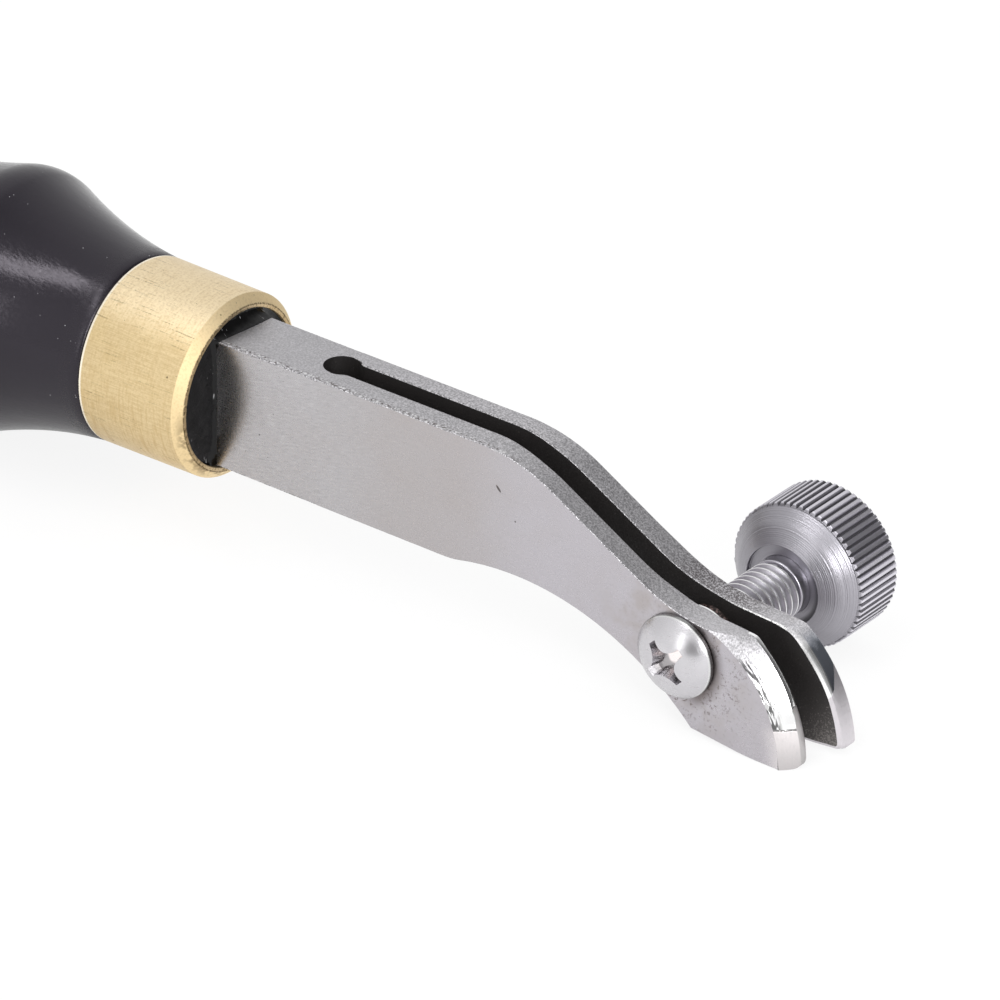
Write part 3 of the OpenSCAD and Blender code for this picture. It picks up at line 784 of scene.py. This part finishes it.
def make_leaf(name, lines, side, outer, inner, nose_bevel, spread, inner_bevel):
    """A leaf as a ribbon between its top and bottom lines, with a bevel round its nose's outer edge.

    Its outer and inner faces are each given as a place across Y and the runs by which they wander.
    The nose's bevel spreads across Y by a factor, at the toe and at the top. The inner bevel is given
    along the leaf, at the nose's top and at its toe.
    """
    top, bottom, centre = leaf_lines(*lines)
    outline = np.concatenate([top, bottom[-2::-1]])
    tangent = np.gradient(outline, axis=0)
    tangent /= np.hypot(*tangent.T)[:, None]
    normal = np.stack([-tangent[:, 1], tangent[:, 0]], 1)
    away = outline - centre
    radius = np.hypot(*away.T)
    at_nose = outline[:, 0] > 38.5
    deep = np.where(at_nose, np.clip(radius - (NOSE_R - nose_bevel), 0, nose_bevel), 0)
    arris = 0.06
    kept = np.maximum(deep, arris)
    radial = away / radius[:, None]
    push = np.where((deep > arris)[:, None], radial, normal)
    nose = np.clip((outline[:, 0] - centre[0] - 5) / 3, 0, 1)
    height = np.clip((outline[:, 1] + 9.0) / 6.0, 0, 1)
    wide = np.where(deep > arris, spread[0] + (spread[1] - spread[0]) * height, 1)
    along, at_top, at_toe = inner_bevel
    inside = along * (1 - nose) + (at_toe + (at_top - at_toe) * height) * nose
    slit = np.sqrt(np.clip(KEYHOLE_R ** 2 - outline[:, 0] ** 2, 0, None))
    inner_y = SLIT_Y - side * np.maximum(slit, abs(inner[0] - SLIT_Y))
    inner_y = inner_y + drift(outline[:, 0], *inner[1:])
    outer_y = outer[0] + drift(outline[:, 0], *outer[1:])
    rings = []
    for share, depth in ((1.0, 0.0), (0.68, 0.26), (0.34, 0.58), (0.0, 1.0)):
        rings.append((outline - push * (kept * share)[:, None], outer_y + side * kept * wide * depth))
    for share, depth in ((0.0, 1.0), (0.3, 0.3), (0.75, 0.0)):
        rings.append((outline - normal * (inside * share)[:, None], inner_y - side * inside * depth))
    n = len(outline)
    verts = []
    for flat, y in rings:
        verts += [(KEYHOLE_X + p[0], float(h), BLADE_Z + p[1]) for p, h in zip(flat, y)]
    faces = [(r * n + i, r * n + i + 1, (r + 1) * n + i + 1, (r + 1) * n + i)
             for r in range(len(rings) - 1) for i in range(n - 1)]
    half = len(top)
    for base in (0, (len(rings) - 1) * n):
        for i in range(half - 1):
            a, b, c, d = base + i, base + i + 1, base + n - 2 - i, base + n - 1 - i
            faces.append((a, b, d) if b == c else (a, b, c, d))
    starts = [r * n for r in range(len(rings))]
    faces.append(starts + [first + n - 1 for first in reversed(starts)])
    return settle(piece_from(name, verts, faces), 28)


def make_shank():
    """The blade behind the leaves, with half of the keyhole, and the tang inside the handle."""
    section = [(y * BAR_T / 2, BLADE_Z + z * BAR_H / 2, 0.13) for y, z in CORNERS]
    tang = [(y * 2.3, BLADE_Z + z * 4.0) for y, z in CORNERS]
    body = bar("blade_shank_steel", rounded_path(section, 3, True), TENON_X + 0.02, KEYHOLE_X)
    circle = arc((KEYHOLE_X, SLIT_Y), KEYHOLE_R, 0, 360, 96)[:-1]
    cut(body, prism("keyhole", *([(*p, z) for p in circle] for z in (-8.0, 8.0))))
    return settle(joined(body, bar("tang", tang, TENON_X - 44, TENON_X)), 28)


def geometry_tree(name, floats, whole, objects=()):
    """A geometry tree about the screw's axis; gives its builder and its named inputs as wires."""
    kinds = {"Float": (*floats, "Axis X", "Axis Z"), "Int": whole}
    kinds.update({"Object": objects, "Material": ["Material"]})
    inputs = {label: "NodeSocket" + kind for kind, labels in kinds.items() for label in labels}
    group = bpy.data.node_groups.new(name, "GeometryNodeTree")
    group.interface.new_socket("Geometry", in_out="OUTPUT", socket_type="NodeSocketGeometry")
    for label, kind in inputs.items():
        group.interface.new_socket(label, in_out="INPUT", socket_type=kind)
    tree = Tree(group)
    entry = tree.node("NodeGroupInput", out=None)
    return tree, {label: Wire(tree, entry.outputs[label]) for label in inputs}


def close_geometry(tree, geometry, material):
    """Ends a geometry tree and gives it: instances made real, one material, one output."""
    real = tree.node("GeometryNodeRealizeInstances", {0: geometry})
    dressed = tree.node("GeometryNodeSetMaterial", {"Geometry": real, "Material": material})
    tree.node("NodeGroupOutput", {0: dressed}, None)
    return tree


def grown(name, tree, material, values):
    """A plain mesh made by a geometry tree with these values for its named inputs."""
    values = {"Axis X": SCREW_X * MM, "Axis Z": SCREW_Z * MM, "Material": material, **values}
    made = piece_from(name, [], [])
    step = made.modifiers.new(name, "NODES")
    step.node_group = tree.node_tree
    for item in tree.node_tree.interface.items_tree:
        if item.in_out == "INPUT":
            step[item.identifier] = values[item.name]
    return plain(made)


def thread_tree():
    """A right-hand thread: a grid wrapped round the screw's axis, its rows slanted along the helix."""
    floats = ("Turns", "Crest Radius", "Root Radius", "Pitch", "Start")
    tree, given = geometry_tree("cut_screw_thread", floats, ("Rows per Turn", "Sides"))
    length = given["Turns"] * given["Pitch"]
    turns = given["Turns"] + 1
    rows = turns * given["Rows per Turn"]
    grid = tree.node("GeometryNodeMeshGrid", {
        "Size X": 1.0, "Size Y": 1.0, "Vertices X": rows + 1, "Vertices Y": given["Sides"] + 1})
    along_grid, across_grid = tree.parts(tree.node("GeometryNodeInputPosition"), 0, 1)
    row = (along_grid + 0.5) * turns
    turn = across_grid + 0.5
    free = (row - turn) * given["Pitch"]
    along = tree.math("MAXIMUM", tree.math("MINIMUM", free, length), 0.0)
    cut_off = tree.math("ABSOLUTE", free - along) > 1e-7
    phase = tree.math("FRACT", row + 1e-4)
    from_crest = tree.math("ABSOLUTE", phase - 0.5) * 2.0
    lift = tree.node("ShaderNodeMapRange", {0: from_crest, 1: 0.14, 2: 0.76, 3: 1.0, 4: 0.0})
    depth = given["Crest Radius"] - given["Root Radius"]
    r = given["Root Radius"] + depth * lift * (1 - cut_off)
    angle = turn * math.tau
    right, up = r * tree.math("COSINE", angle), r * tree.math("SINE", angle)
    moved = tree.point(given["Axis X"] + right, given["Start"] + along, given["Axis Z"] + up)
    wrapped = tree.node("GeometryNodeSetPosition", {"Geometry": grid, "Position": moved})
    sewn = tree.node("GeometryNodeMergeByDistance", {"Geometry": wrapped, "Distance": 2e-6})
    return close_geometry(tree, sewn, given["Material"])


def knurl_tree():
    """A straight knurl: one tooth set round the screw's axis, its front ends a little ragged."""
    tree, given = geometry_tree("straight_knurl", ("Raggedness", "Back"), ("Teeth", "Seed"), ("Tooth",))
    index = tree.node("GeometryNodeInputIndex")
    centre = tree.point(given["Axis X"], given["Back"], given["Axis Z"])
    points = tree.node("GeometryNodePoints", {"Count": given["Teeth"], "Position": centre})
    tooth = tree.node("GeometryNodeObjectInfo", {"Object": given["Tooth"]}, "Geometry")
    turn = tree.point(0.0, index * math.tau / given["Teeth"], 0.0)
    rotation = tree.node("FunctionNodeEulerToRotation", {0: turn})
    uneven = tree.node("FunctionNodeRandomValue", {"Seed": given["Seed"]}, 1, data_type="FLOAT")
    scale = tree.point(1.0, 1 - uneven * given["Raggedness"], 1.0)
    teeth = tree.node("GeometryNodeInstanceOnPoints", {
        "Points": points, "Instance": tooth, "Rotation": rotation, "Scale": scale})
    return close_geometry(tree, teeth, given["Material"])


def make_stud(material):
    """The threaded stud, bored for the retaining screw, with a plain end seated in the knob."""
    start, end, seat = -0.26, 10.14, 15.25
    bore_r, bore_end = 1.53, 5.5
    thread = grown("adjusting_stud_thread", thread_tree(), material, {
        "Turns": (end - start) / PITCH, "Rows per Turn": 12, "Sides": 72, "Crest Radius": STUD_R * MM,
        "Root Radius": 2.068 * MM, "Pitch": PITCH * MM, "Start": start * MM})

    def at_end(edge, y):
        return edge.is_boundary and all(abs(v.co.y - y * MM) < 1e-7 for v in edge.verts)

    axis = Vector((SCREW_X * MM, 0, SCREW_Z * MM))
    bored = ((bore_r, start), (bore_r, bore_end), (0.0, bore_end))
    with opened(thread) as form:
        for side, steps in ((start, bored), (end, ((0.0, end),))):
            rim = [e for e in form.edges if at_end(e, side)]
            for r, y in steps:
                added = bmesh.ops.extrude_edge_only(form, edges=rim)["geom"]
                for v in (g for g in added if isinstance(g, bmesh.types.BMVert)):
                    flat = Vector((v.co.x - axis.x, 0, v.co.z - axis.z)).normalized() * r
                    v.co = axis + Vector((flat.x, y, flat.z)) * MM
                rim = [g for g in added if isinstance(g, bmesh.types.BMEdge) and g.is_boundary]
    plain_end = rounded_path([
        (end + 0.005, 0, 0), (end + 0.005, STUD_R, 0.15), (seat, STUD_R, 0), (seat, 0, 0)])
    return settle(joined(thread, turned("plain_end", plain_end, True, 96)), 30)


def make_knob(material):
    """Turned knob with a crowned cone, a shallow flat recess round the stud, and a straight knurl."""
    seat, floor, front, back = 15.28, 11.25, 10.9, 18.2
    bore_r, recess_r, drum_r = 2.53, 3.45, 6.0
    profile = rounded_path([
        (seat, 0, 0), (seat, bore_r, 0), (floor, bore_r, 0), (floor, recess_r, 0.05),
        (front, recess_r, 0.05), (11.8, 4.86, 4.0), (12.88, drum_r, 0), (18.0, drum_r, 0),
        (back, 5.8, 0.1), (back, 2.0, 0), (back, 0, 0)], 8)
    body = turned("thumb_knob_knurled", profile, True, 180)
    body.data.materials.append(material)
    base, tip, foot, crest = 5.95, 6.25, 0.29, 0.12
    rear, fore, end = -0.2, -4.94, -5.16
    verts = []
    for y, half, r in ((0.0, foot, base), (rear, crest, tip), (fore, crest, tip), (end, foot, base)):
        verts += [(-half, y, r), (half, y, r)]
    verts += [(-foot, rear, base), (foot, rear, base), (-foot, fore, base), (foot, fore, base)]
    faces = [(0, 1, 3, 2), (2, 3, 5, 4), (4, 5, 7, 6), (8, 2, 4, 10), (3, 9, 11, 5)]
    faces += [(0, 2, 8), (1, 9, 3), (4, 6, 10), (5, 11, 7)]
    tooth = settle(piece_from("tooth", verts, faces))
    teeth = grown("knurl", knurl_tree(), material, {
        "Tooth": tooth, "Teeth": 63, "Raggedness": 0.025, "Back": 18.04 * MM, "Seed": 3})
    bpy.data.objects.remove(tooth)
    return settle(joined(body, teeth), 30)


def make_washer():
    """A flat washer that sits a little off centre on its screw."""
    near_y, far_y, bore_r, rim_r, off_centre = -0.76, -0.26, 1.97, 3.38, 0.44
    corners = [(near_y, bore_r, 0.03), (near_y, rim_r, 0.04), (far_y, rim_r, 0.08), (far_y, bore_r, 0.03)]
    washer = turned("thrust_washer_steel", rounded_path(corners, closed=True), True, 128, True)
    washer.data.transform(Matrix.Translation((off_centre * MM, 0, 0)))
    return settle(washer)


def make_retaining_screw():
    """Low domed head with a cross recess, on a shank that goes into the stud."""
    rim, top, dome = -3.39, -4.94, 4.8404
    head_r, shank_r, seat, tip = 3.55, 1.5, -3.04, 4.96
    half = math.degrees(math.asin(head_r / dome))
    crown = arc((top + dome, 0), dome, 180 - half, 180, 24)
    profile = [(tip, 0), (tip, 1.3), (4.76, shank_r), (seat, shank_r), (seat, 3.47), (-3.1, head_r)]
    profile += [(rim, head_r)] + crown[1:]
    head = turned("retaining_screw_head", profile, True, 128)
    ends = []
    for y, reach, half_w, hollow in ((top - 0.6, 2.5, 0.5, 0.3), (top + 1.2, 1.5, 0.24, 0.06)):
        ends.append([])
        for quarter in range(4):
            angle = math.radians(90 * quarter + 45)
            c, s = math.cos(angle), math.sin(angle)
            for i in range(9):
                t = i / 8
                u = (1 - t) ** 2 * reach + 2 * t * (1 - t) * hollow + t * t * half_w
                v = (1 - t) ** 2 * half_w + 2 * t * (1 - t) * hollow + t * t * reach
                ends[-1].append((SCREW_X + u * c - v * s, y, SCREW_Z + u * s + v * c))
    return settle(cut(head, prism("cross_recess", *ends)), 30)


def dress(piece, body, node, materials, choose=None):
    """Gives a piece its materials and hides the node that it stands for; attaches it to its body when
    that is one name, else bakes its place into its mesh.
    """
    piece.data.materials.clear()
    for material in materials:
        piece.data.materials.append(material)
    for face in piece.data.polygons:
        face.material_index = choose(face) if choose else 0
    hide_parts(node)
    if isinstance(body, str):
        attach(piece, body)
    else:
        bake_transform(piece)
    return piece


def in_keyhole(place):
    return math.hypot(place.x - KEYHOLE_X, place.y - SLIT_Y) < KEYHOLE_R + 0.05


def leaf_finish(side, nose_x, corner_x):
    """Which finish a face of a leaf gets: 0 side, 1 edge, 2 arris, 3 nose, 4 slit."""
    def choose(face):
        n, c = face.normal, face.center / MM
        out = -n.y * side
        if out < -0.9 or in_keyhole(c):
            return 4
        if c.x > nose_x and out < 0.95 and n.z > -0.6 and (n.x > 0.12 or c.x > corner_x):
            return 3
        if out > 0.97:
            return 0
        return 1 if abs(out) < 0.15 else 2
    return choose


def shank_finish(face):
    """Which of the same finishes a face of the shank gets."""
    n = face.normal
    if in_keyhole(face.center / MM) and abs(n.z) < 0.3:
        return 4
    if abs(n.y) > 0.97:
        return 0
    return 1 if abs(n.z) > 0.97 or abs(n.x) > 0.9 else 2


def set_stage():
    """Pale floor, soft lamps, and the camera at the photograph's place."""
    scene = bpy.context.scene
    size = 3.0
    corners = [(x * size / MM, y * size / MM, FLOOR_Z) for x, y in CORNERS]
    floor = piece_from("floor", corners, [(0, 1, 2, 3)])
    f = Finish("white_floor")
    path = f.node("ShaderNodeLightPath", out=None)
    kinds = ("Camera", "Transmission", "Glossy")
    straight, through, mirrored = (Wire(f, path.outputs[f"Is {kind} Ray"]) for kind in kinds)
    behind = 0.3 + f.ramp(f.y, 12.0, 45.0) * 0.7
    seen = f.math("MAXIMUM", f.math("MAXIMUM", straight, through) * 0.85, mirrored * behind)
    matt = f.node("ShaderNodeBsdfDiffuse", {"Color": grey(0.9)})
    glow = f.node("ShaderNodeEmission", {"Color": grey(1.0), "Strength": 1.0})
    both = f.node("ShaderNodeMixShader", {0: seen, 1: matt, 2: glow})
    f.node("ShaderNodeOutputMaterial", {"Surface": both}, None)
    floor.data.materials.append(f.material)

    world = bpy.data.worlds.new("studio")
    scene.world = world
    world.use_nodes = True
    world.node_tree.nodes.clear()
    t = Tree(world.node_tree)
    toward = t.node("ShaderNodeTexCoord", out="Generated")
    to_right, to_back = t.parts(toward, 0, 1)
    opening = t.ramp(to_right, -0.3, 0.5) * t.ramp(to_back, -0.5, 0.2)
    mirrored = t.node("ShaderNodeLightPath", out="Is Glossy Ray")
    tent = t.blend(t.ramp(to_back, -0.4, -0.95), grey(0.93), grey(1.13))
    tent = t.blend(opening, tent, grey(0.12))
    facing = t.vector("DOT_PRODUCT", toward, (0.41, -0.87, 0.25), out="Value")
    beside_camera = t.ramp(facing, 0.92, 0.985)
    shade = t.blend(mirrored, grey(1.0), t.blend(beside_camera, tent, grey(0.2)))
    ground = t.node("ShaderNodeBackground", {"Color": shade, "Strength": 1.0})
    t.node("ShaderNodeOutputWorld", {"Surface": ground}, None)

    def lamp(name, toward, distance, long_side, size, glow):
        """A softbox in a direction from the blade, with its glow as radiance."""
        away = Vector(toward).normalized()
        along = Vector(long_side)
        along = (along - away * along.dot(away)).normalized()
        light = bpy.data.lights.new(name, "AREA")
        light.shape = "RECTANGLE"
        light.size, light.size_y = size
        light.energy = glow * math.pi * size[0] * size[1]
        place = Vector((0.11, 0.0, 0.0)) + away * distance
        aimed(placed(name, light), place, along, away.cross(along))

    lamp("overhead_strip", (-0.17, -0.42, 1.0), 1.1, (-0.67, 0.74, 0), (0.75, 0.19), 6.0)
    lamp("front_strip", (0.0, -0.93, 0.36), 1.0, (0, 0.36, 0.93), (0.55, 0.11), 3.0)
    lamp("right_window", (0.75, -0.48, 0.42), 1.1, (1, 0.8, 0), (0.4, 0.5), 9.0)

    lens = bpy.data.cameras.new("photograph")
    lens.sensor_width = 36.0
    lens.lens = 288.0
    lens.clip_end = 20.0
    eye = placed("photograph", lens)
    right, down = Vector((0.79268, 0.60937, 0.01821)), Vector((0.31132, -0.37892, -0.87149))
    aimed(eye, (0.4563, -0.44037, 0.30892), right, -down)
    scene.camera = eye
    scene.view_settings.view_transform = "Standard"


lathe, thread, stainless = lathe_steel(), cut_thread(), bright_stainless()
steels = [ground_steel(), milled_edge(), worn_arris(), polished_nose(), slit_scale()]

dress(make_handle(), "grip", "handle", [black_lacquer()])
dress(make_ferrule(), "grip", "ferrule", [brushed_brass()])
dress(make_bedding(), "grip", "ferrule_bedding", [setting_compound()])
dress(make_shank(), "grip", "blade_shank", steels, shank_finish)

near = make_leaf("near_tine_steel", lines=(0.0, 12.85, 0.9, 0.5), side=1, outer=(NEAR_OUT,),
                 inner=(NEAR_IN, (17, 22, -0.3), (31, 35, 0.3)),
                 nose_bevel=1.3, spread=(1.0, 1.33), inner_bevel=(0.06, 0.2, 0.3))
cut(near, turned("near_hole", [(-4, 0), (-4, 1.55), (0, 1.55), (0, 0)], True, 64))
dress(near, ("grip", "near_leaf"), "near_tine", steels, leaf_finish(1, 147.8, 150.0))

far = make_leaf("far_tine_steel", lines=(1.7, 12.45, 2.2, 0.8), side=-1,
                outer=(FAR_OUT, (15, 24, 0.18), (29, 34, 0.12)),
                inner=(FAR_IN, (17, 22, -0.2), (31, 37, 0.42), (42, 44.5, -0.24), (45.5, 48.5, 0.24)),
                nose_bevel=0.15, spread=(1.0, 1.0), inner_bevel=(0.11, 0.26, 0.7))
cut(far, turned("far_hole", [(0, 0), (0, 2.75), (4, 2.75), (4, 0)], True, 64))
dress(far, ("grip", "far_leaf"), "far_tine", steels, leaf_finish(-1, 149.9, 151.75))

dress(make_stud(thread), "thumb_screw", "adjusting_stud", [thread])
dress(make_knob(lathe), "thumb_screw", "thumb_knob", [lathe])
dress(make_washer(), "thumb_screw", "thrust_washer", [stainless])
dress(make_retaining_screw(), "thumb_screw", "retaining_screw", [stainless])

set_stage()
